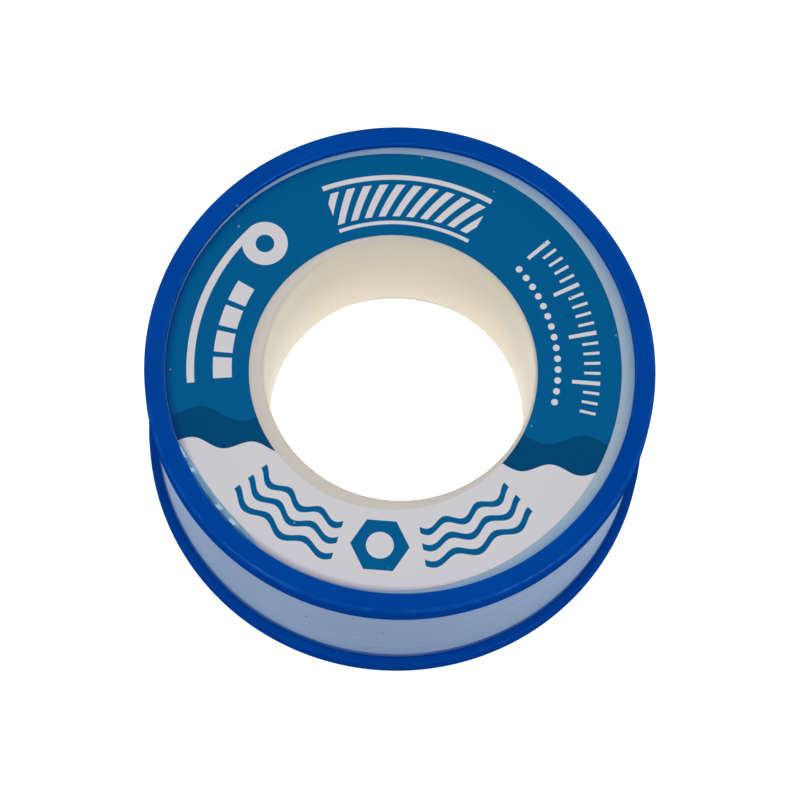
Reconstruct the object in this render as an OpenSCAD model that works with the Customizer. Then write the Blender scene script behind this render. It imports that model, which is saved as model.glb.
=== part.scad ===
// Thread seal tape roll: white film wound on a two-part spool, with a pushed-on rim ring at each end
// and a printed sticker in the recess of the upper face. Millimetres, axis on +Z, base at z = 0.

/* [Tape] */
// Width of the tape
tape_w = 19; // [10:0.5:30]
// Thickness of the film
tape_t = 0.12; // [0.08:0.01:0.3]
// Depth of the wound tape, from the hub out to its last turn
wound_depth = 10.55; // [5:0.05:20]
// How far the wound tape stays inside the rim
tape_sink = 1.4; // [1.1:0.1:6]
// Room between each edge of the tape and the flange beside it
tape_side_gap = 0.3; // [0.2:0.05:1]
// Room between one layer of film and the next piece under it
layer_gap = 0.05; // [0.03:0.01:0.1]
// Length of the free end that lifts off the roll
end_len = 16; // [8:1:30]
// Direction of the peel line, in degrees from +X towards +Y
peel_angle = 62; // [0:1:359]
// Length of roll left bare between the start of the last turn and its end
turn_break = 4; // [2:0.5:8]
// Room at the peel line, between the last turn and the free end
peel_gap = 0.15; // [0.1:0.05:0.3]

/* [Rim rings] */
// Thickness of the ring's skirt
ring_wall = 1; // [0.8:0.1:1.2]
// Width of the ring's lip, seen from above
lip_w = 2.4; // [2.2:0.1:3]
// Thickness of the ring's lip
lip_t = 1; // [0.8:0.1:1.2]
// Radius of the ring's outer edge
ring_round = 0.5; // [0.2:0.1:0.7]
// Radius of the lip's inner edge
lip_round = 0.3; // [0.1:0.1:0.4]
// Radial play of a ring on its flange
ring_play = 0.3; // [0.2:0.05:0.4]
// Axial play of a ring on its flange, at each side
ring_float = 0.1; // [0.1:0.05:0.2]
// How far the snap bead stands in from the skirt
bead_reach = 0.65; // [0.5:0.05:0.8]
// Height of the snap bead, with its two slopes
bead_h = 1; // [0.9:0.1:1.5]

/* [Spool] */
// Thickness of the flange's edge, held by the ring
tongue_t = 1; // [0.8:0.1:1.2]
// Thickness of the collar that the ring is pushed up to
collar_t = 0.4; // [0.3:0.05:1]
// How far the collar stays inside the rim
collar_in = 1; // [0.8:0.05:1.2]
// Radius of the bore at its narrow lower end
bore_r = 15.25; // [8:0.05:20]
// Length of the straight stretch of the bore
land_len = 5; // [3:0.5:8]
// How much wider the bore is just under its mouth
bore_draft = 0.65; // [0.3:0.05:0.8]
// Radius of the rounded mouths
mouth_round = 1; // [0.6:0.1:1.4]
// Wall of the inner hub tube at its narrow end
tube_wall = 1.55; // [1.4:0.05:2]
// How far the inner tube stops above the lower flange's face
tube_short = 6; // [4:0.5:9]
// Room between the two halves of the hub
hub_clear = 0.1; // [0.05:0.05:0.2]
// Wall of the outer hub sleeve
sleeve_wall = 1.1; // [0.9:0.1:1.6]
// How far the locking bead stands out of the inner tube
lock_reach = 0.3; // [0.2:0.05:0.4]
// Height of the locking bead's straight stretch
lock_h = 0.8; // [0.5:0.1:1.2]
// Distance of the locking bead from the tube's end
lock_up = 2; // [1.5:0.1:4]

/* [Label] */
// Room between the sticker and the rim ring on the side where they are closest
label_gap = 0.05; // [0.05:0.05:1]
// How far the edge of the sticker's hole stands back from the bore
label_back = 1.05; // [1:0.05:3]
// Thickness of the sticker
label_t = 0.08; // [0.05:0.01:0.1]
// How far the sticker sits to the left of centre
label_off = 0.75; // [0:0.05:0.8]
// How far the sticker's hole is cut off its centre, towards the viewer
label_hole_low = 0.4; // [0:0.05:0.6]

/* [Hidden] */
$fn = 128;
// How far a cut runs past the face that it leaves
past = 1;

// Heights, from the base up
face_depth = lip_t + ring_float;
ring_h = face_depth + tongue_t + ring_float + bead_h;
flange_t = ring_h - face_depth + ring_float + collar_t;
height = tape_w + 2 * (tape_side_gap + flange_t + face_depth);
face_z = height - face_depth;
flange_z = face_z - flange_t;
tape_z = height - flange_z + tape_side_gap;
tube_end_z = height - face_z + tube_short;
lock_z = tube_end_z + lock_up;

// Radii of the hub and the tape, from the bore out to the rim
mouth_r = bore_r + bore_draft;
label_hole_r = mouth_r + label_back;
tube_r = bore_r + tube_wall;
sleeve_bore_r = tube_r + hub_clear;
sleeve_r = sleeve_bore_r + sleeve_wall;
pack_r = sleeve_r + layer_gap + wound_depth;
ring_r = pack_r + tape_sink;

// Radii of the flanges and the label, from the rim in
label_r = ring_r - lip_w - label_off - label_gap;
skirt_r = ring_r - ring_wall;
flange_r = skirt_r - ring_play;
bead_r = skirt_r - bead_reach;
groove_r = bead_r - ring_play;
collar_r = ring_r - collar_in;

// The last turn climbs one layer as it goes round, and stops short of its own start
layer = tape_t + layer_gap;
turn_r = pack_r + layer_gap;
turn_sweep = 360 - turn_break / turn_r * 180 / PI;
turn_steps = 144;
end_r = turn_r + layer;
end_sweep = end_len / end_r * 180 / PI;
peel_gap_angle = peel_gap / end_r * 180 / PI;

white_plastic = [0.93, 0.91, 0.86];
blue_plastic = [0.02, 0.26, 0.62];
tape_white = [0.9, 0.92, 0.95];
label_blue = [0.02, 0.35, 0.56];

// Inner radius of the last turn at step i of turn_steps, counted back from the peel line
function turn_at(i) = turn_r + layer * (1 - i / turn_steps);

// Point at radius r, a given angle back from the peel line
function back_point(r, angle) = [r * cos(peel_angle - angle), r * sin(peel_angle - angle)];

turn_angles = [for (i = [0:turn_steps]) turn_sweep * i / turn_steps];
turn_inner = [for (i = [0:turn_steps]) back_point(turn_at(i), turn_angles[i])];
turn_outer = [for (i = [0:turn_steps]) back_point(turn_at(i) + tape_t, turn_angles[i])];

// The strip's two ends are the nearest it comes to itself
turn_gap = min([for (a = [0:1], b = [0:1])
    norm([turn_inner, turn_outer][a][0] - [turn_inner, turn_outer][b][turn_steps])]);
echo(str("last turn of tape: least gap to itself ", turn_gap, " mm"));

// What rounding takes off a square corner at [r, r]
module corner_cut(r) {
    difference() {
        square(r + past);
        circle(r);
    }
}

// Turns a piece of the upper end over, to serve at the lower end
module turned_over() {
    translate([0, 0, height])
        mirror([0, 0, 1])
            children();
}

// A rim ring as it sits at the upper end: lip, skirt, and a bead that snaps into the flange's groove
module rim_ring() {
    low = height - ring_h;
    bead_slope = bead_reach / 2;
    rotate_extrude()
        difference() {
            union() {
                translate([ring_r - lip_w, height - lip_t]) square([lip_w, lip_t]);
                translate([skirt_r, low]) square([ring_wall, ring_h]);
                polygon([
                    [skirt_r, low + bead_h],
                    [bead_r, low + bead_h - bead_slope],
                    [bead_r, low + bead_slope],
                    [skirt_r, low]
                ]);
            }
            translate([ring_r - ring_round, height - ring_round]) corner_cut(ring_round);
            translate([ring_r - lip_w + lip_round, height - lip_round]) mirror([1, 0]) corner_cut(lip_round);
        }
}

// Flange disc at the upper end, from the radius of its hub out: a groove for the ring's bead runs round it,
// between the edge that the ring holds and the collar
module flange_profile(hub_r) {
    translate([hub_r, flange_z]) square([groove_r - hub_r, flange_t]);
    translate([hub_r, face_z - tongue_t]) square([flange_r - hub_r, tongue_t]);
    translate([hub_r, flange_z]) square([collar_r - hub_r, collar_t]);
}

// Room cut out of a mouth of radius r whose edge is rounded
module mouth_cut(r) {
    translate([r + mouth_round, face_z - mouth_round]) mirror([1, 0]) corner_cut(mouth_round);
}

// Locking bead on the inner tube of radius r, or its groove in a sleeve, which is taller by some room
module lock_profile(r, room) {
    half = lock_h / 2 + room;
    polygon([
        [r, lock_z - half - lock_reach],
        [r + lock_reach, lock_z - half],
        [r + lock_reach, lock_z + half],
        [r, lock_z + half + lock_reach]
    ]);
}

module spool_upper_half() {
    color(white_plastic)
        rotate_extrude()
            difference() {
                union() {
                    flange_profile(bore_r);
                    translate([bore_r, tube_end_z]) square([tube_wall, face_z - tube_end_z]);
                    lock_profile(tube_r, 0);
                }
                polygon([
                    [bore_r, tube_end_z + land_len],
                    [mouth_r, face_z - mouth_round],
                    [mouth_r, face_z + past],
                    [bore_r, face_z + past]
                ]);
                mouth_cut(mouth_r);
            }
}

module spool_lower_half() {
    color(white_plastic)
        difference() {
            union() {
                turned_over()
                    rotate_extrude()
                        difference() {
                            flange_profile(sleeve_bore_r);
                            mouth_cut(sleeve_bore_r);
                        }
                rotate_extrude()
                    translate([sleeve_bore_r, height - flange_z])
                        square([sleeve_wall, flange_z - hub_clear - (height - flange_z)]);
            }
            rotate_extrude() lock_profile(sleeve_bore_r, hub_clear);
        }
}

module tape_winding() {
    color(tape_white)
        translate([0, 0, tape_z])
            difference() {
                cylinder(h = tape_w, r = pack_r);
                translate([0, 0, -past]) cylinder(h = tape_w + 2 * past, r = sleeve_r + layer_gap);
            }
}

module tape_outer_turn() {
    color(tape_white)
        translate([0, 0, tape_z])
            linear_extrude(tape_w)
                polygon(concat(turn_inner, [for (i = [turn_steps:-1:0]) turn_outer[i]]));
}

module tape_end() {
    color(tape_white)
        translate([0, 0, tape_z])
            rotate([0, 0, peel_angle + peel_gap_angle])
                rotate_extrude(angle = end_sweep)
                    translate([end_r, 0]) square([tape_t, tape_w]);
}

module face_label() {
    color(label_blue)
        translate([-label_off, 0, face_z])
            difference() {
                cylinder(h = label_t, r = label_r);
                translate([0, -label_hole_low, -past]) cylinder(h = label_t + 2 * past, r = label_hole_r);
            }
}

module upper_rim_ring() {
    color(blue_plastic) rim_ring();
}

module lower_rim_ring() {
    color(blue_plastic) turned_over() rim_ring();
}

spool_lower_half();
tape_winding();
tape_outer_turn();
tape_end();
spool_upper_half();
face_label();
lower_rim_ring();
upper_rim_ring();
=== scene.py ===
"""A roll of thread seal tape in the CAD model's frame, in metres: two spool halves pushed together, white
film wound between their flanges, a printed label in the upper face and a rim ring pushed on at each
end."""

import math

import bpy
import numpy as np
from mathutils import Matrix, Vector


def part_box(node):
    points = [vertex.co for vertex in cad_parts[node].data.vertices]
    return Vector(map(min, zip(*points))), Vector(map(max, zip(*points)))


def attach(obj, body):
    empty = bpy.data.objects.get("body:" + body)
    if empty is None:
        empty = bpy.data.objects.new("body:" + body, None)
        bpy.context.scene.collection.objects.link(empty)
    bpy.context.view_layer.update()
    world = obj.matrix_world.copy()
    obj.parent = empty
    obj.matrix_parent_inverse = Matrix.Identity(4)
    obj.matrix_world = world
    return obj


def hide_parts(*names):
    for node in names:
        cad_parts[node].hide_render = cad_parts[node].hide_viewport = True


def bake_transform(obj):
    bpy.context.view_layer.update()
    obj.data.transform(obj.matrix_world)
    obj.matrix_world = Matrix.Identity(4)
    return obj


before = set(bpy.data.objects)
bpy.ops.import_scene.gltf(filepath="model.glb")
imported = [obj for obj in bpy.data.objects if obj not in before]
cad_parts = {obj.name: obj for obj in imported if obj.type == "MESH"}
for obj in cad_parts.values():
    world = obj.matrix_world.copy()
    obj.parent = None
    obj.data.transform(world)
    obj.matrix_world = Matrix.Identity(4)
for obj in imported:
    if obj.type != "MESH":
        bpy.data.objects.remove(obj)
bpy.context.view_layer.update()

# Lower spool half
# The lower flange and the outer hub sleeve, one moulding in natural, uncoloured plastic. A groove round
# the flange takes the bead of a rim ring, up to a thin collar, and a groove in the sleeve takes the
# other half's locking bead.
MM = 0.001
ARC_POINTS = 7
TURN_STEPS = 360

edge_round = 0.1 * MM
flange_thickness = 2.6 * MM
tongue_thickness = 1.0 * MM
tongue_back = 0.3 * MM
collar_thickness = 0.4 * MM
groove_back = 0.95 * MM
sleeve_bore_r = 16.9 * MM
sleeve_r = 18.0 * MM
mouth_round = 1.0 * MM
lock_z = 9.1 * MM
lock_reach = 0.3 * MM
bead_half = 0.4 * MM
lock_groove_half = 0.5 * MM

lower_low, lower_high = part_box("spool_lower_half")
collar_r = lower_high.y
tongue_r = collar_r - tongue_back
groove_r = collar_r - groove_back
lower_face_z = lower_low.z
sleeve_top_z = lower_high.z


def rounded(corners, radii, arc_points=ARC_POINTS):
    """A closed outline, counter-clockwise, with rounded corners: rows of point, outward normal and edge.

    A corner becomes an arc that touches both of its edges. The arc's centre lies on the corner's
    bisector, at its radius over the sine of half the angle, and its normals swing from one edge's normal
    to the next one's. The edge value is 1 in the middle of an outer corner's arc and 0 on the flats.
    """
    corner = np.array(corners, float)
    radius = np.array(radii, float)[:, None]
    back = np.roll(corner, 1, axis=0) - corner
    ahead = np.roll(corner, -1, axis=0) - corner
    back /= np.linalg.norm(back, axis=1, keepdims=True)
    ahead /= np.linalg.norm(ahead, axis=1, keepdims=True)
    bisector = back + ahead
    bisector /= np.linalg.norm(bisector, axis=1, keepdims=True)
    half_sine = np.sqrt((1 - np.sum(back * ahead, axis=1, keepdims=True)) / 2)
    centre = corner + bisector * radius / half_sine
    normal_in = np.stack([-back[:, 1], back[:, 0]], axis=1)
    normal_out = np.stack([ahead[:, 1], -ahead[:, 0]], axis=1)
    swing = np.arccos(np.clip(np.sum(normal_in * normal_out, axis=1), -1, 1))[:, None, None]
    outer = -np.sign(np.sum(bisector * normal_in, axis=1))[:, None, None]
    share = np.linspace(0, 1, arc_points)[None, :, None]
    normal = np.sin((1 - share) * swing) * normal_in[:, None]
    normal = (normal + np.sin(share * swing) * normal_out[:, None]) / np.sin(swing)
    point = centre[:, None] + outer * radius[:, None] * normal
    edge = np.sin(math.pi * share) * np.maximum(outer, 0)
    return np.concatenate([point, normal, edge], axis=2).reshape(-1, 5)


def skin(name, points, round_trip, uv):
    """A mesh on a grid of points, whose rows run round a section and whose columns run along the piece.

    Each cell of the grid is one quad, whose normal is the column direction times the row direction.
    The section is closed. If the piece makes a round trip its last column joins its first, and
    otherwise both ends are capped.
    """
    rows, columns = points.shape[:2]
    row = np.arange(rows)[:, None]
    column = np.arange(columns if round_trip else columns - 1)[None, :]
    next_row = (row + 1) % rows
    next_column = (column + 1) % columns
    corners = [(row, column), (row, next_column), (next_row, next_column), (next_row, column)]
    faces = np.stack([r * columns + c for r, c in corners], axis=-1).reshape(-1, 4).tolist()
    uv_corners = [(row, column), (row, column + 1), (row + 1, column + 1), (row + 1, column)]
    corner_uv = np.stack([uv[r, c] for r, c in uv_corners], axis=2).reshape(-1, 2)
    if not round_trip:
        first = np.arange(rows) * columns
        faces += [first.tolist(), (first[::-1] + columns - 1).tolist()]
        corner_uv = np.concatenate([corner_uv, uv[:rows, 0], uv[rows - 1::-1, columns - 1]])
    mesh = bpy.data.meshes.new(name)
    mesh.from_pydata(points.reshape(-1, 3).tolist(), [], faces)
    mesh.uv_layers.new(name="Surface").data.foreach_set("uv", corner_uv.ravel())
    mesh.polygons.foreach_set("use_smooth", np.ones(len(mesh.polygons), bool))
    piece = bpy.data.objects.new(name, mesh)
    bpy.context.scene.collection.objects.link(piece)
    return piece


def turned(name, outline):
    """A rounded outline of radius and height carried round the Z axis, with its true normals."""
    angle = np.linspace(0, 2 * math.pi, TURN_STEPS, endpoint=False)

    def carried(pairs):
        """Points from pairs of radius and height: the radius goes by each angle's cosine and sine."""
        return np.stack([pairs[:, :1] * np.cos(angle), pairs[:, :1] * np.sin(angle),
                         np.repeat(pairs[:, 1:], TURN_STEPS, axis=1)], axis=2)

    along = np.linspace(0, 1, TURN_STEPS + 1)
    across = np.linspace(0, 1, len(outline) + 1)
    uv = np.stack(np.meshgrid(along, across), axis=2)
    piece = skin(name, carried(outline[:, 0:2]), True, uv)
    piece.data.normals_split_custom_set_from_vertices(carried(outline[:, 2:4]).reshape(-1, 3))
    edge = piece.data.attributes.new("edge", "FLOAT", "POINT")
    edge.data.foreach_set("value", np.repeat(outline[:, 4], TURN_STEPS).astype(np.float32))
    return piece


def lower_half_outline():
    """The section of the lower half: the flange's edge, groove and collar, then up and down the sleeve."""
    inner_z = lower_face_z + flange_thickness
    corners = [
        (sleeve_bore_r, lower_face_z, mouth_round),
        (tongue_r, lower_face_z, edge_round),
        (tongue_r, lower_face_z + tongue_thickness, edge_round),
        (groove_r, lower_face_z + tongue_thickness, edge_round),
        (groove_r, inner_z - collar_thickness, edge_round),
        (collar_r, inner_z - collar_thickness, edge_round),
        (collar_r, inner_z, edge_round),
        (sleeve_r, inner_z, edge_round),
        (sleeve_r, sleeve_top_z, edge_round),
        (sleeve_bore_r, sleeve_top_z, edge_round),
        (sleeve_bore_r, lock_z + lock_groove_half + lock_reach, edge_round),
        (sleeve_bore_r + lock_reach, lock_z + lock_groove_half, edge_round),
        (sleeve_bore_r + lock_reach, lock_z - lock_groove_half, edge_round),
        (sleeve_bore_r, lock_z - lock_groove_half - lock_reach, edge_round),
    ]
    return rounded([c[:2] for c in corners], [c[2] for c in corners])


def srgb(red, green, blue):
    """A colour given as it looks on screen, 0 to 255, as the linear colour that a shader takes."""
    seen = np.array([red, green, blue]) / 255
    linear = np.where(seen <= 0.04045, seen / 12.92, ((seen + 0.055) / 1.055) ** 2.4)
    return (*linear.tolist(), 1.0)


def place(tree, kind, sockets=None, **settings):
    """Adds a node to a tree: settings are its own properties, sockets its inputs' values or links."""
    made = tree.nodes.new(kind)
    for setting, value in settings.items():
        setattr(made, setting, value)
    for socket, value in (sockets or {}).items():
        if isinstance(value, bpy.types.NodeSocket):
            tree.links.new(value, made.inputs[socket])
        else:
            made.inputs[socket].default_value = value
    return made


def noise(tree, vector, scale, detail=2.0):
    """Soft noise from 0 to 1; scale is in features per unit of the vector."""
    made = place(tree, "ShaderNodeTexNoise", {"Vector": vector, "Scale": scale, "Detail": detail})
    return made.outputs["Fac"]


def spread(tree, value, source, target=(0.0, 1.0)):
    """A value carried from one range to another, held at the ends."""
    made = place(tree, "ShaderNodeMapRange", {"Value": value, "From Min": source[0], "From Max": source[1],
                                              "To Min": target[0], "To Max": target[1]})
    return made.outputs["Result"]


def mixed(tree, factor, colour_a, colour_b):
    """Colour a where the factor is 0 and colour b where it is 1."""
    made = place(tree, "ShaderNodeMix", {0: factor, 6: colour_a, 7: colour_b}, data_type="RGBA")
    return made.outputs[2]


def math_step(tree, operation, a, b):
    """One step of arithmetic on two values."""
    return place(tree, "ShaderNodeMath", {0: a, 1: b}, operation=operation).outputs[0]


def use_group(tree, group, **sockets):
    """A node group set in a tree: returns its outputs."""
    return place(tree, "ShaderNodeGroup", sockets, node_tree=group).outputs


def new_group(name, inputs, outputs):
    """An empty shader node group with float outputs: returns its tree and its input and output nodes."""
    tree = bpy.data.node_groups.new(name, "ShaderNodeTree")
    for socket, kind in inputs.items():
        tree.interface.new_socket(socket, in_out="INPUT", socket_type=kind)
    for socket in outputs:
        tree.interface.new_socket(socket, in_out="OUTPUT", socket_type="NodeSocketFloat")
    return tree, tree.nodes.new("NodeGroupInput"), tree.nodes.new("NodeGroupOutput")


def moulded_grain_group():
    """The skin of a moulded or rolled surface: a fine and a broad height, and a slow drift of tone."""
    tree, given, put = new_group("Moulded grain", {"Vector": "NodeSocketVector", "Fine": "NodeSocketFloat"},
                                 ["Height", "Drift"])
    fine = noise(tree, given.outputs["Vector"], scale=1800.0, detail=3.0)
    broad = noise(tree, given.outputs["Vector"], scale=220.0)
    drift = noise(tree, given.outputs["Vector"], scale=70.0, detail=4.0)
    weighted = math_step(tree, "MULTIPLY", fine, given.outputs["Fine"])
    tree.links.new(math_step(tree, "ADD", weighted, broad), put.inputs["Height"])
    tree.links.new(drift, put.inputs["Drift"])
    return tree


def edge_wear_group():
    """Rubbed corners: the mesh's edge value, broken up by noise."""
    tree, given, put = new_group("Edge wear", {"Vector": "NodeSocketVector"}, ["Wear"])
    edge = place(tree, "ShaderNodeAttribute", attribute_name="edge").outputs["Fac"]
    patchy = spread(tree, noise(tree, given.outputs["Vector"], scale=500.0, detail=5.0), (0.42, 0.7))
    tree.links.new(math_step(tree, "MULTIPLY", edge, patchy), put.inputs["Wear"])
    return tree


def specks_group():
    """Scattered dust: a round dot in a share of the cells of a random pattern."""
    tree, given, put = new_group("Dust specks", {"Vector": "NodeSocketVector", "Share": "NodeSocketFloat",
                                                 "Size": "NodeSocketFloat"}, ["Speck"])
    cells = place(tree, "ShaderNodeTexVoronoi", {"Vector": given.outputs["Vector"], "Scale": 330.0})
    dot = math_step(tree, "LESS_THAN", cells.outputs["Distance"], given.outputs["Size"])
    draw = place(tree, "ShaderNodeSeparateColor", {"Color": cells.outputs["Color"]}).outputs["Red"]
    chosen = math_step(tree, "LESS_THAN", draw, given.outputs["Share"])
    tree.links.new(math_step(tree, "MULTIPLY", dot, chosen), put.inputs["Speck"])
    return tree


moulded_grain = moulded_grain_group()
edge_wear = edge_wear_group()
dust_specks = specks_group()


def new_material(name):
    """A material that holds only a Principled shader: returns the material, its tree and the shader."""
    made = bpy.data.materials.new(name)
    made.use_nodes = True
    return made, made.node_tree, made.node_tree.nodes["Principled BSDF"]


def relief(tree, shader, height, distance, strength):
    """Height in the shader's normal, through a Bump node."""
    bump = place(tree, "ShaderNodeBump", {"Height": height, "Distance": distance, "Strength": strength})
    tree.links.new(bump.outputs["Normal"], shader.inputs["Normal"])


def distance_from_axis(tree, where):
    """How far a point of the roll lies from the roll's axis."""
    flat = place(tree, "ShaderNodeVectorMath", {0: where, 1: (1.0, 1.0, 0.0)}, operation="MULTIPLY")
    length = place(tree, "ShaderNodeVectorMath", {0: flat.outputs["Vector"]}, operation="LENGTH")
    return length.outputs["Value"]


def natural_plastic():
    """Uncoloured plastic: translucent, satin, with a few dark specks moulded in.

    Its tone goes by the distance from the axis, in millimetres. The bore's wall is painted paler and
    warmer, as painted light from below; the flange is grey; towards the rim and on the collar it is painted
    darker and bluer, as painted shade and the blue light that the ring throws.
    """
    # The stops in the bore and near the rim are painted light and shade, not the plastic's own colour.
    tones_with_painted_light = [(15.85, srgb(244, 236, 219)), (16.2, srgb(221, 215, 207)), (24.8, srgb(204, 204, 200)),
             (26.2, srgb(178, 200, 214)), (27.4, srgb(143, 176, 206)), (28.6, srgb(126, 169, 211)),
             (28.9, srgb(20, 84, 176))]
    ramp_end = 30.0
    drift_share = 0.12
    warmer = srgb(231, 222, 203)
    dirt = srgb(150, 138, 120)
    material, tree, shader = new_material("Natural plastic")
    where = place(tree, "ShaderNodeTexCoord").outputs["Object"]
    grain = use_group(tree, moulded_grain, Vector=where, Fine=0.5)
    specks = use_group(tree, dust_specks, Vector=where, Share=0.02, Size=0.05)
    wear = use_group(tree, edge_wear, Vector=where)
    drift = spread(tree, grain["Drift"], (0.35, 0.65))
    along_ramp = math_step(tree, "DIVIDE", distance_from_axis(tree, where), ramp_end * MM)
    by_radius = place(tree, "ShaderNodeValToRGB", {"Fac": along_ramp})
    stops = by_radius.color_ramp.elements
    for index, (radius, colour) in enumerate(tones_with_painted_light):
        stop = stops[index] if index < len(stops) else stops.new(1.0)
        stop.position = radius / ramp_end
        stop.color = colour
    warmth = math_step(tree, "MULTIPLY", drift, drift_share)
    tone = mixed(tree, warmth, by_radius.outputs["Color"], warmer)
    tree.links.new(mixed(tree, specks["Speck"], tone, dirt), shader.inputs["Base Color"])
    rough = math_step(tree, "ADD", spread(tree, drift, (0.0, 1.0), (0.36, 0.46)), wear["Wear"])
    tree.links.new(rough, shader.inputs["Roughness"])
    shader.inputs["Subsurface Weight"].default_value = 0.25
    shader.inputs["Subsurface Radius"].default_value = (1.0, 0.8, 0.55)
    shader.inputs["Subsurface Scale"].default_value = 1.2 * MM
    shader.inputs["Specular IOR Level"].default_value = 0.04
    relief(tree, shader, grain["Height"], distance=0.02 * MM, strength=0.35)
    return material


spool_plastic = natural_plastic()
lower_half = turned("lower_half", lower_half_outline())
lower_half.data.materials.append(spool_plastic)
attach(lower_half, "spool")
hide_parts("spool_lower_half")

# Wound tape
# All the turns of film under the last one. The turns never lie quite level, so the pack's two sides are
# finely ridged, turn by turn, and its outer face is smooth.
wound_low, wound_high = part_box("tape_winding")
wound_r = wound_high.y
hub_gap = 0.05 * MM
wound_bore_r = sleeve_r + hub_gap
ridge_count = 30
ridge_depth = 0.14 * MM
ridge_fall = 0.55
ridge_seed = 7
ridge_arc_points = 2
film_round = 0.03 * MM


def wound_outline():
    """The section of the pack: each side is a row of ridges whose depths are drawn at random.

    A ridge is as deep as it is drawn at its inner edge, and that times its fall at its outer edge.
    """
    draw = np.random.default_rng(ridge_seed)
    across = np.linspace(wound_bore_r, wound_r, 2 * ridge_count)
    drawn_depth = np.repeat(draw.random(ridge_count), 2)
    depth = ridge_depth * drawn_depth * np.tile([1.0, ridge_fall], ridge_count)
    depth[[0, -1]] = 0
    bottom = np.stack([across, wound_low.z + depth], axis=1)
    top = np.stack([across[::-1], wound_high.z - depth], axis=1)
    corners = np.concatenate([bottom, top])
    return rounded(corners, np.full(len(corners), film_round), ridge_arc_points)


def film_material():
    """Thread seal film: matt and thin, its white painted darker and bluer as painted shade and the blue
    light beside the rims, with fine streaks along the tape and a few scuffs.
    """
    # Both film colours are white painted darker and bluer, as painted shade beside the rims.
    white = srgb(170, 199, 240)
    shaded = srgb(158, 189, 234)
    grime_and_lip_shade = srgb(110, 122, 140)
    material, tree, shader = new_material("Seal film")
    surface = place(tree, "ShaderNodeTexCoord").outputs
    stretched = place(tree, "ShaderNodeMapping", {"Vector": surface["UV"], "Scale": (30.0, 900.0, 1.0)})
    streaks = noise(tree, stretched.outputs["Vector"], scale=1.0, detail=3.0)
    grain = use_group(tree, moulded_grain, Vector=surface["Object"], Fine=0.8)
    specks = use_group(tree, dust_specks, Vector=surface["Object"], Share=0.2, Size=0.06)
    tone = mixed(tree, spread(tree, streaks, (0.3, 0.7)), white, shaded)
    tree.links.new(mixed(tree, specks["Speck"], tone, grime_and_lip_shade), shader.inputs["Base Color"])
    tree.links.new(spread(tree, grain["Drift"], (0.3, 0.7), (0.5, 0.62)), shader.inputs["Roughness"])
    shader.inputs["Subsurface Weight"].default_value = 0.2
    shader.inputs["Subsurface Radius"].default_value = (1.0, 1.0, 1.0)
    shader.inputs["Subsurface Scale"].default_value = 0.8 * MM
    shader.inputs["Specular IOR Level"].default_value = 0.1
    height = math_step(tree, "ADD", streaks, grain["Height"])
    relief(tree, shader, height, distance=0.03 * MM, strength=0.5)
    return material


tape_film = film_material()
wound_tape = turned("wound_tape", wound_outline())
wound_tape.data.materials.append(tape_film)
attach(wound_tape, "spool")
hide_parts("tape_winding")

# Last turn and free end
# The outermost turn of the same film, which climbs by one layer as it goes round, and the end that a hand
# lifts. They are one strip, made as two pieces that meet a little before the peel line.
film_thickness = 0.12 * MM
film_layer = 0.17 * MM
film_lift = 0.05 * MM
film_rows = 20
peel_angle = math.radians(62.0)
turn_sweep = math.radians(352.0)
overlap_angle = math.radians(20.0)
end_sweep = math.radians(31.8)
narrowed = 0.994
edge_wander = 0.04 * MM
wander_waves = [(3, 0.4), (7, 2.0)]
face_swell = 0.012 * MM
swell_waves = 5
swell_lean = 900
crease_angle = math.radians(40.0)
turn_r = wound_r + film_lift


def film_strip(name, start, stop, columns):
    """A strip of film laid round the roll, from one angle to another, as a closed thin skin.

    Its inner radius grows by one layer over a full turn, up to the peel line. The strip is a little
    narrower than its room and wanders up and down in it by a sum of sines of the angle. Its face swells
    outwards by one more sine, whose waves lean: they shift with the height.
    """
    angle = np.linspace(start, stop, columns)
    height = np.linspace(wound_low.z, wound_high.z, film_rows)
    middle_z = (wound_low.z + wound_high.z) / 2
    climb = 1 + np.clip((angle - peel_angle) / turn_sweep, -1, 0)
    wander = edge_wander * sum(np.sin(waves * angle + phase) for waves, phase in wander_waves)
    swell = face_swell * (1 + np.sin(swell_waves * angle[None, :] + swell_lean * height[:, None]))
    z = middle_z + narrowed * (height[:, None] - middle_z) + wander
    inner = turn_r + film_layer * climb + swell
    outer = inner + film_thickness
    radius = np.concatenate([outer, inner[::-1]])
    z = np.concatenate([z, z[::-1]])
    points = np.stack([radius * np.cos(angle), radius * np.sin(angle), z], axis=2)
    along = angle * turn_r
    across = np.concatenate([height, height[::-1], height[:1]])
    uv = np.stack(np.meshgrid(along, across), axis=2)
    piece = skin(name, points, False, uv)
    piece.data.set_sharp_from_angle(angle=crease_angle)
    piece.data.materials.append(tape_film)
    return piece


last_turn = film_strip("last_turn", peel_angle - turn_sweep, peel_angle - overlap_angle, columns=480)
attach(last_turn, "spool")
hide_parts("tape_outer_turn")

free_end = film_strip("free_end", peel_angle - overlap_angle, peel_angle + end_sweep, columns=120)
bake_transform(free_end)
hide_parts("tape_end")

# Upper spool half
# The upper flange and the inner hub tube, one moulding in the same plastic. The tube pushes into the sleeve
# until its bead clicks into the groove. Its bore widens towards the labelled face, as a moulding core
# needs, and ends in a rounded mouth.
bore_r = 15.25 * MM
land_length = 5.0 * MM
bore_draft = 0.65 * MM
tube_r = 16.8 * MM
draft_round = 3.0 * MM

upper_low, upper_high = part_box("spool_upper_half")
tube_end_z = upper_low.z
face_z = upper_high.z


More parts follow.
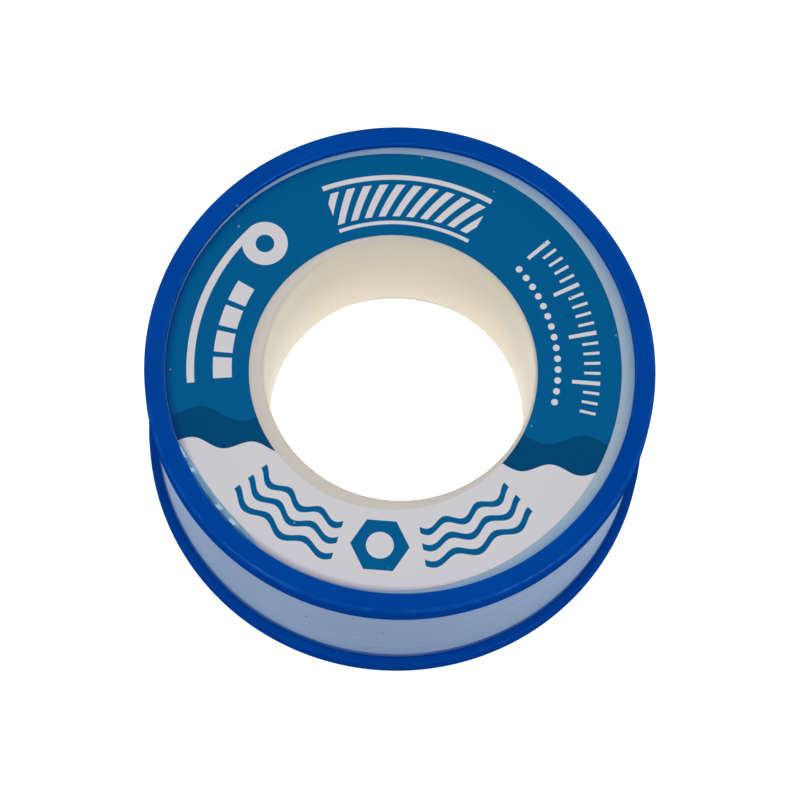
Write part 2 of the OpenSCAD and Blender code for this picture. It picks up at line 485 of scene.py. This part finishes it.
def upper_half_outline():
    """The section of the upper half: up the tube and its bead, out along the flange, back down the bore."""
    inner_z = face_z - flange_thickness
    land_z = tube_end_z + land_length
    mouth_z = face_z - mouth_round
    mouth_r = bore_r + bore_draft * (face_z - land_z) / (mouth_z - land_z)
    corners = [
        (bore_r, tube_end_z, edge_round),
        (tube_r, tube_end_z, edge_round),
        (tube_r, lock_z - bead_half - lock_reach, edge_round),
        (tube_r + lock_reach, lock_z - bead_half, edge_round),
        (tube_r + lock_reach, lock_z + bead_half, edge_round),
        (tube_r, lock_z + bead_half + lock_reach, edge_round),
        (tube_r, inner_z, edge_round),
        (collar_r, inner_z, edge_round),
        (collar_r, inner_z + collar_thickness, edge_round),
        (groove_r, inner_z + collar_thickness, edge_round),
        (groove_r, face_z - tongue_thickness, edge_round),
        (tongue_r, face_z - tongue_thickness, edge_round),
        (tongue_r, face_z, edge_round),
        (mouth_r, face_z, mouth_round),
        (bore_r, land_z, draft_round),
    ]
    return rounded([c[:2] for c in corners], [c[2] for c in corners])


upper_half = turned("upper_half", upper_half_outline())
upper_half.data.materials.append(spool_plastic)
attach(upper_half, "spool")
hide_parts("spool_upper_half")

# Face label
# A ring of printed and laminated paper, stuck by hand in the recess of the upper face, a little off
# centre. Along one stretch its margin has come loose and curled up against the rim, and beside that it
# reaches a little nearer to the rim. Its print is a plain water design.
label_low, label_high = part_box("face_label")
label_x = (label_low.x + label_high.x) / 2
paper_r = (label_high.x - label_low.x) / 2
paper_thickness = label_high.z - label_low.z
hole_r = 16.95 * MM
hole_y = -0.4 * MM
label_columns = 540
flat_rows = 12
rim_rows = 22
rim_rows_from = 0.8
curl_middle = math.radians(221.5)
curl_half = math.radians(17.0)
curl_back = 0.8 * MM
curl_stretch = 0.33 * MM
curl_bend_r = 0.5 * MM
curl_slope = math.radians(42.0)
curl_crinkle = math.radians(8.0)
crinkle_waves = (23, 41)
crinkle_phase = 0.6
curl_edge = 0.12 * MM
low_middle = math.radians(263.0)
low_half = math.radians(46.0)
low_reach = 0.33 * MM
ripple_height = 0.006 * MM
ripple_waves = (6, 11)
ripple_lean = 1500
paper_crease = math.radians(60.0)


def label_mesh():
    """The label as a closed thin skin: a flat ring between two circles, curled up along part of its margin.

    Past the fold the paper follows an arc up to its full slope and then runs straight: on the arc it has
    gone out by the bend radius times the sine of the slope and up by the bend radius times one minus the
    cosine. The slope changes along the curl by a product of two sines, as crinkled film does, and another
    such product ripples the flat. The mesh's curl value is 0 on the flat and 1 past the fold. The rows
    lie closer together near the rim, where the paper bends.
    """
    angle = np.linspace(0, 2 * math.pi, label_columns, endpoint=False)
    flat_share = np.linspace(0, rim_rows_from, flat_rows, endpoint=False)
    share = np.concatenate([flat_share, np.linspace(rim_rows_from, 1, rim_rows)])[:, None]
    curl = np.clip(1 - ((angle - curl_middle) / curl_half) ** 2, 0, 1) ** 0.5
    crinkle = np.sin(crinkle_waves[1] * angle + crinkle_phase)
    full_slope = curl_slope + curl_crinkle * np.sin(crinkle_waves[0] * angle) * crinkle
    low = np.clip(1 - ((angle - low_middle) / low_half) ** 2, 0, 1)
    edge_r = paper_r + low_reach * low * (1 - curl)
    flat_r = (1 - share) * hole_r + share * (edge_r + curl_stretch * curl)
    fold = edge_r - curl_back * curl
    past = np.maximum(flat_r - fold, 0)
    slope = np.minimum(past / curl_bend_r, full_slope)
    straight = past - curl_bend_r * slope
    under_r = np.minimum(flat_r, fold) + curl_bend_r * np.sin(slope) + straight * np.cos(slope)
    leaning = np.sin(ripple_waves[0] * angle + ripple_lean * flat_r)
    ripple = ripple_height * (1 + leaning * np.sin(ripple_waves[1] * angle))
    under_z = label_low.z + ripple + curl_bend_r * (1 - np.cos(slope)) + straight * np.sin(slope)
    over_r = under_r - paper_thickness * np.sin(slope)
    over_z = under_z + paper_thickness * np.cos(slope)
    radius = np.concatenate([under_r, over_r[::-1]])
    low_by = hole_y * (1 - np.concatenate([share, share[::-1]]))
    points = np.stack([radius * np.cos(angle) + label_x, radius * np.sin(angle) + low_by,
                       np.concatenate([under_z, over_z[::-1]])], axis=2)
    along = np.linspace(0, 1, label_columns + 1)
    across = np.linspace(0, 1, len(points) + 1)
    piece = skin("printed_label", points, True, np.stack(np.meshgrid(along, across), axis=2))
    piece.data.set_sharp_from_angle(angle=paper_crease)
    curled = piece.data.attributes.new("curl", "FLOAT", "POINT")
    loose = np.clip(past / curl_edge, 0, 1)
    curled.data.foreach_set("value", np.concatenate([loose, loose[::-1]]).ravel().astype(np.float32))
    return piece


label_ink, label_tree, label_shader = new_material("Label print")


class Drawn:
    """A number that changes over the label; arithmetic and comparison on it add Math nodes there."""

    def __init__(self, socket):
        self.socket = socket

    def __add__(self, other):
        return drawn("ADD", self, other)

    def __sub__(self, other):
        return drawn("SUBTRACT", self, other)

    def __mul__(self, other):
        return drawn("MULTIPLY", self, other)

    def __lt__(self, other):
        return drawn("LESS_THAN", self, other)

    def __gt__(self, other):
        return drawn("GREATER_THAN", self, other)

    def __and__(self, other):
        return drawn("MINIMUM", self, other)

    def __or__(self, other):
        return drawn("MAXIMUM", self, other)

    def __abs__(self):
        return drawn("ABSOLUTE", self)


def drawn(operation, *terms):
    """One Math node in the label's material, whose terms are drawn values or plain numbers."""
    made = label_tree.nodes.new("ShaderNodeMath")
    made.operation = operation
    for socket, term in zip(made.inputs, terms):
        if isinstance(term, Drawn):
            label_tree.links.new(term.socket, socket)
        else:
            socket.default_value = term
    return Drawn(made.outputs[0])


def between(value, low, high):
    """1 where a drawn value lies between two numbers."""
    return (value > low) & (value < high)


def repeated(value, pitch):
    """A drawn value's distance from the nearest of the lines that stand a pitch apart."""
    return drawn("PINGPONG", value, pitch / 2)


def label_print():
    """The print's colour, and the place that it goes by.

    It is drawn in millimetres from the label's centre, with angles in degrees: the angle runs from +X
    towards +Y, and the left angle from -X towards +Y.
    """
    field_blue = srgb(0, 99, 154)
    deep_blue = srgb(0, 77, 124)
    ink_white = srgb(228, 226, 231)
    where = place(label_tree, "ShaderNodeTexCoord").outputs["Object"]
    sized = place(label_tree, "ShaderNodeMapping", {"Vector": where, "Location": (-label_x / MM, 0, 0),
                                                    "Scale": (1 / MM, 1 / MM, 1 / MM)})
    axes = place(label_tree, "ShaderNodeSeparateXYZ", {"Vector": sized.outputs["Vector"]})
    x, y = Drawn(axes.outputs["X"]), Drawn(axes.outputs["Y"])
    reach = drawn("SQRT", x * x + y * y)
    angle = drawn("ARCTAN2", y, x) * math.degrees(1)
    left_angle = drawn("ARCTAN2", y, x * -1) * math.degrees(1)

    # White shore below a wave, and deeper water above it
    white_area = y + drawn("SINE", x * 0.9) * 0.55 + 10.9 < 0
    deep_area = y + drawn("SINE", x * 0.7 + 1.2) * 0.7 + 7.2 < 0

    # Turns of a pipe thread between two rails, at the top
    above = angle - 90.0
    thread = abs(above) < 25.0
    turn_mark = thread & between(reach, 18.9, 22.9) & (repeated(above + (reach - 21.0) * 1.6, 5.0) < 1.3)
    rail_mark = thread & (between(reach, 17.9, 18.35) | between(reach, 23.5, 24.1))

    # Roll on the left, with a strip of tape that follows the rim and dashes inside it
    roll_x, roll_y = x + 16.3, y - 14.2
    roll = drawn("SQRT", roll_x * roll_x + roll_y * roll_y)
    roll_mark = between(roll, 1.1, 2.7)
    strip_mark = between(left_angle, -9.0, 41.0) & between(reach, 23.4, 24.3)
    dashed = between(left_angle, -9.0, 27.0) & (repeated(left_angle, 9.0) > 0.9)
    dash_mark = dashed & between(reach, 19.0, 21.2)

    # Scale along the rim on the right, with a row of dots inside it
    on_scale = between(angle, -10.0, 46.0)
    short_mark = between(reach, 22.4, 24.3) & (repeated(angle, 3.0) < 0.42)
    long_mark = between(reach, 21.0, 24.3) & (repeated(angle, 15.0) < 0.6)
    dot_row_r, dot_r = 19.3, 0.4
    dot_x = repeated(angle, 4.0) * (dot_row_r * math.radians(1))
    dot_y = reach - dot_row_r
    dot_mark = dot_x * dot_x + dot_y * dot_y < dot_r ** 2
    scale_mark = on_scale & (short_mark | long_mark | dot_mark)

    # Nut in the white area, with waves on both sides
    nut_x, nut_y = abs(x), abs(y + 21.7)
    hexagon = ((nut_x * 0.866 + nut_y * 0.5) < 3.0) & (nut_y < 3.0)
    nut_mark = hexagon & (nut_x * nut_x + nut_y * nut_y > 2.6)
    aside = abs(angle + 90.0)
    swell = drawn("SINE", aside * 0.5) * 0.5
    line = reach - swell
    waves = between(line, 19.5, 20.3) | between(line, 21.5, 22.3) | between(line, 23.5, 24.3)
    wave_mark = waves & between(aside, 13.0, 47.0)

    light_ink = turn_mark | rail_mark | roll_mark | strip_mark | dash_mark | scale_mark
    water = mixed(label_tree, deep_area.socket, field_blue, deep_blue)
    inked_water = mixed(label_tree, light_ink.socket, water, ink_white)
    inked_shore = mixed(label_tree, (nut_mark | wave_mark).socket, ink_white, field_blue)
    return mixed(label_tree, white_area.socket, inked_water, inked_shore), where


def finish_label(print_colour, where):
    """The rest of the label's material, over its print.

    Painted shade darkens the paper beside the ring's lip, the curled margin is painted with the ring's blue
    reflection, and dust lies on all of it. Only the curled film is glossy.
    """
    ring_reflection_blue = srgb(30, 124, 178)
    ring_reflection_pale = srgb(74, 154, 194)
    grime_and_lip_shade = srgb(0, 40, 118)
    dust = srgb(120, 140, 160)
    lip_shade_reach = (26.5 * MM, 27.5 * MM)
    most_lip_shade = 0.65
    ring_reflection_cover = 0.9
    film_gloss = 0.45
    tree, shader = label_tree, label_shader
    specks = use_group(tree, dust_specks, Vector=where, Share=0.45, Size=0.05)
    grain = use_group(tree, moulded_grain, Vector=where, Fine=0.3)
    curl = place(tree, "ShaderNodeAttribute", attribute_name="curl").outputs["Fac"]
    # Painted reflection: the curled film is painted with the ring's blue.
    film = mixed(tree, spread(tree, noise(tree, where, scale=420.0), (0.35, 0.65)), ring_reflection_blue, ring_reflection_pale)
    # Painted shade: the paper darkens towards the ring's lip.
    by_lip = spread(tree, distance_from_axis(tree, where), lip_shade_reach, (0.0, most_lip_shade))
    paper = mixed(tree, by_lip, print_colour, grime_and_lip_shade)
    tone = mixed(tree, math_step(tree, "MULTIPLY", curl, ring_reflection_cover), paper, film)
    tree.links.new(mixed(tree, specks["Speck"], tone, dust), shader.inputs["Base Color"])
    tree.links.new(math_step(tree, "MULTIPLY", curl, film_gloss), shader.inputs["Coat Weight"])
    tree.links.new(spread(tree, grain["Drift"], (0.3, 0.7), (0.3, 0.4)), shader.inputs["Roughness"])
    shader.inputs["Specular IOR Level"].default_value = 0.02
    shader.inputs["Coat Roughness"].default_value = 0.07
    relief(tree, shader, grain["Height"], distance=0.02 * MM, strength=0.25)


finish_label(*label_print())

printed_label = label_mesh()
printed_label.data.materials.append(label_ink)
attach(printed_label, "spool")
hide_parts("face_label")

# Rim rings
# A thin blue moulding at each end, pushed over the flange's edge until its bead snaps behind it. It keeps
# some play, so it turns on the flange. The outer edge is well rounded and the lip covers the rim of the
# face.
ring_wall = 1.0 * MM
lip_width = 2.4 * MM
lip_thickness = 1.0 * MM
ring_round = 0.5 * MM
lip_round = 0.3 * MM
bead_reach = 0.65 * MM
bead_height = 1.0 * MM

ring_low, ring_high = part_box("upper_rim_ring")
ring_r = ring_high.y
ring_height = ring_high.z - ring_low.z


def ring_outline(foot_z, way):
    """The section of a ring from its foot, which is the skirt's free end, towards its lip.

    The way from foot to lip is 1 for up and -1 for down.
    """
    skirt_r = ring_r - ring_wall
    lip_r = ring_r - lip_width
    lip_z = ring_height - lip_thickness
    slope = bead_reach / 2
    corners = [
        (skirt_r, 0, edge_round),
        (ring_r, 0, edge_round),
        (ring_r, ring_height, ring_round),
        (lip_r, ring_height, lip_round),
        (lip_r, lip_z, edge_round),
        (skirt_r, lip_z, edge_round),
        (skirt_r, bead_height, edge_round),
        (skirt_r - bead_reach, bead_height - slope, edge_round),
        (skirt_r - bead_reach, slope, edge_round),
    ][::way]
    return rounded([(r, foot_z + way * z) for r, z, _ in corners], [c[2] for c in corners])


def rim_material():
    """Blue moulded plastic: even colour with a slow drift, glossy and rubbed paler on its edges.

    The skirt's upright faces are painted a little lighter than the lip, as painted light from the floor. A
    trace of metal on the edges gives their gloss the plastic's own blue.
    """
    blue = srgb(0, 76, 172)
    deeper = srgb(0, 69, 161)
    painted_lighter_side = srgb(0, 78, 186)
    rubbed = srgb(30, 112, 205)
    dust = srgb(110, 160, 215)
    most_rubbed = 0.35
    edge_metal = 0.03
    edge_gloss = 0.03
    material, tree, shader = new_material("Rim plastic")
    surface = place(tree, "ShaderNodeTexCoord").outputs
    where = surface["Object"]
    grain = use_group(tree, moulded_grain, Vector=where, Fine=0.6)
    specks = use_group(tree, dust_specks, Vector=where, Share=0.2, Size=0.05)
    wear = use_group(tree, edge_wear, Vector=where)
    drift = spread(tree, grain["Drift"], (0.3, 0.7))
    facing_up = place(tree, "ShaderNodeSeparateXYZ", {"Vector": surface["Normal"]}).outputs["Z"]
    levelness = place(tree, "ShaderNodeMath", {0: facing_up}, operation="ABSOLUTE").outputs[0]
    # Painted light: upright faces are painted lighter than level ones.
    upright = spread(tree, levelness, (0.1, 0.6), (1.0, 0.0))
    tone = mixed(tree, upright, mixed(tree, drift, blue, deeper), painted_lighter_side)
    worn = mixed(tree, math_step(tree, "MULTIPLY", wear["Wear"], most_rubbed), tone, rubbed)
    edge = place(tree, "ShaderNodeAttribute", attribute_name="edge").outputs["Fac"]
    tree.links.new(mixed(tree, specks["Speck"], worn, dust), shader.inputs["Base Color"])
    tree.links.new(spread(tree, drift, (0.0, 1.0), (0.3, 0.38)), shader.inputs["Roughness"])
    tree.links.new(math_step(tree, "MULTIPLY", edge, edge_metal), shader.inputs["Metallic"])
    tree.links.new(math_step(tree, "MULTIPLY", edge, edge_gloss), shader.inputs["Coat Weight"])
    shader.inputs["Specular IOR Level"].default_value = 0.0
    shader.inputs["Coat Roughness"].default_value = 0.1
    relief(tree, shader, grain["Height"], distance=0.02 * MM, strength=0.3)
    return material


rim_plastic = rim_material()
lower_ring_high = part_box("lower_rim_ring")[1]
for ring_name, foot_z, way, body in [("lower_ring", lower_ring_high.z, -1, "lower_rim"),
                                     ("upper_ring", ring_low.z, 1, "upper_rim")]:
    ring = turned(ring_name, ring_outline(foot_z, way))
    ring.data.materials.append(rim_plastic)
    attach(ring, body)
    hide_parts(body + "_ring")

# Floor
# A plain pale floor under the roll. To the camera it glows a little more than its light makes it, so that
# it comes out white and still shows the roll's soft shadow.
floor_half = 3.0
floor_glow = 0.8

floor_mesh = bpy.data.meshes.new("floor")
floor_corners = [(-1, -1), (1, -1), (1, 1), (-1, 1)]
floor_mesh.from_pydata([(x * floor_half, y * floor_half, 0) for x, y in floor_corners], [], [(0, 1, 2, 3)])
floor = bpy.data.objects.new("floor", floor_mesh)
bpy.context.scene.collection.objects.link(floor)
floor_material, floor_tree, floor_shader = new_material("Pale floor")
floor_shader.inputs["Base Color"].default_value = srgb(205, 205, 205)
floor_shader.inputs["Roughness"].default_value = 0.9
floor_shader.inputs["Specular IOR Level"].default_value = 0.0
floor_shader.inputs["Emission Color"].default_value = (1, 1, 1, 1)


def seen_directly(tree):
    """1 for a ray from the camera, also by way of gloss or glass."""
    path = place(tree, "ShaderNodeLightPath").outputs
    reflected = math_step(tree, "MAXIMUM", path["Is Glossy Ray"], path["Is Transmission Ray"])
    return math_step(tree, "MAXIMUM", path["Is Camera Ray"], reflected)


floor_tree.links.new(math_step(floor_tree, "MULTIPLY", seen_directly(floor_tree), floor_glow),
                     floor_shader.inputs["Emission Strength"])
floor.data.materials.append(floor_material)

# Studio light
# Soft light from all round, brighter near the horizon, with a large lamp over the roll and softboxes low
# at its sides and back. Glint lamps only put gloss on the rim and the curl, and a lamp at the bore's foot
# stands for the light that comes up through it. The background is white up to the studio's dark ceiling.
sky_level = 0.25
horizon_level = 0.42
horizon_top = 0.3
ceiling_start = 0.45
ceiling_full = 0.85
ceiling_level = 0.1

world = bpy.data.worlds.new("Studio")
world.use_nodes = True
bpy.context.scene.world = world
studio = world.node_tree
sky = studio.nodes["Background"]
sky.inputs["Color"].default_value = (1, 1, 1, 1)
sky_way = place(studio, "ShaderNodeTexCoord").outputs["Generated"]
sky_height = place(studio, "ShaderNodeSeparateXYZ", {"Vector": sky_way}).outputs["Z"]
backdrop = spread(studio, sky_height, (ceiling_start, ceiling_full), (1.0, ceiling_level))
soft_light = spread(studio, sky_height, (0.0, horizon_top), (horizon_level, sky_level))
sky_strength = spread(studio, seen_directly(studio), (0.0, 1.0), (soft_light, backdrop))
studio.links.new(sky_strength, sky.inputs["Strength"])


def lamp(name, azimuth, elevation, distance, size, power, gloss_only=False):
    """A square soft lamp aimed at the roll.

    The azimuth is in degrees from +X towards +Y and the elevation in degrees above the floor. A lamp for
    gloss only shows as a glint and lights nothing else.
    """
    a, e = math.radians(azimuth), math.radians(elevation)
    way = Vector((math.cos(a) * math.cos(e), math.sin(a) * math.cos(e), math.sin(e)))
    data = bpy.data.lights.new(name, "AREA")
    data.size = size
    data.energy = power
    made = bpy.data.objects.new(name, data)
    aim = way.to_track_quat("Z", "Y").to_matrix().to_4x4()
    made.matrix_world = Matrix.Translation(way * distance) @ aim
    made.visible_diffuse = not gloss_only
    bpy.context.scene.collection.objects.link(made)


lamp("key", azimuth=-95, elevation=79, distance=0.9, size=0.5, power=4.05)
lamp("left", azimuth=190, elevation=4, distance=0.7, size=0.24, power=0.75)
lamp("right", azimuth=-10, elevation=4, distance=0.7, size=0.24, power=0.9)
lamp("back", azimuth=75, elevation=10, distance=0.7, size=0.24, power=0.9)
lamp("left glint", azimuth=228, elevation=40, distance=0.7, size=0.2, power=6.0, gloss_only=True)
lamp("right glint", azimuth=317, elevation=40, distance=0.7, size=0.16, power=4.5, gloss_only=True)
lamp("back glint", azimuth=55, elevation=12, distance=0.7, size=0.2, power=1.3, gloss_only=True)

bore_light_z = 0.3 * MM
bore_light = bpy.data.lights.new("bore light", "AREA")
bore_light.shape = "DISK"
bore_light.size = 28.0 * MM
bore_light.energy = 0.0019
bore_lamp = bpy.data.objects.new("bore light", bore_light)
bore_lamp.matrix_world = Matrix.Translation((0, 0, bore_light_z)) @ Matrix.Rotation(math.pi, 4, "X")
bore_lamp.visible_camera = False
bpy.context.scene.collection.objects.link(bore_lamp)

# Camera
# A long lens looks down on the roll's face, as the photograph does. The roll's axis passes through the
# given pixel at the height of the upper rim.
photo_width_px = 800
focal_length_px = 4939.3
axis_px = (400.1, 366.6)
axis_height = 26.65 * MM
camera_distance = 0.5789
camera_elevation = math.radians(72.29)
camera_roll = math.radians(-4.4)

forward = np.array([0, math.cos(camera_elevation), -math.sin(camera_elevation)])
level_up = np.array([0, math.sin(camera_elevation), math.cos(camera_elevation)])
level_right = np.array([1.0, 0, 0])
camera_right = math.cos(camera_roll) * level_right - math.sin(camera_roll) * level_up
camera_up = math.sin(camera_roll) * level_right + math.cos(camera_roll) * level_up
aside = (axis_px[0] - photo_width_px / 2) / focal_length_px
above = (photo_width_px / 2 - axis_px[1]) / focal_length_px
towards_axis = forward + aside * camera_right + above * camera_up
camera_place = np.array([0, 0, axis_height]) - camera_distance * towards_axis

camera_data = bpy.data.cameras.new("camera")
camera_data.sensor_width = 36.0
camera_data.lens = focal_length_px / photo_width_px * camera_data.sensor_width
camera_data.clip_end = 10.0
camera = bpy.data.objects.new("camera", camera_data)
turn = Matrix((camera_right, camera_up, -forward)).transposed().to_4x4()
camera.matrix_world = Matrix.Translation(camera_place) @ turn
bpy.context.scene.collection.objects.link(camera)
bpy.context.scene.camera = camera
bpy.context.scene.view_settings.view_transform = "Standard"
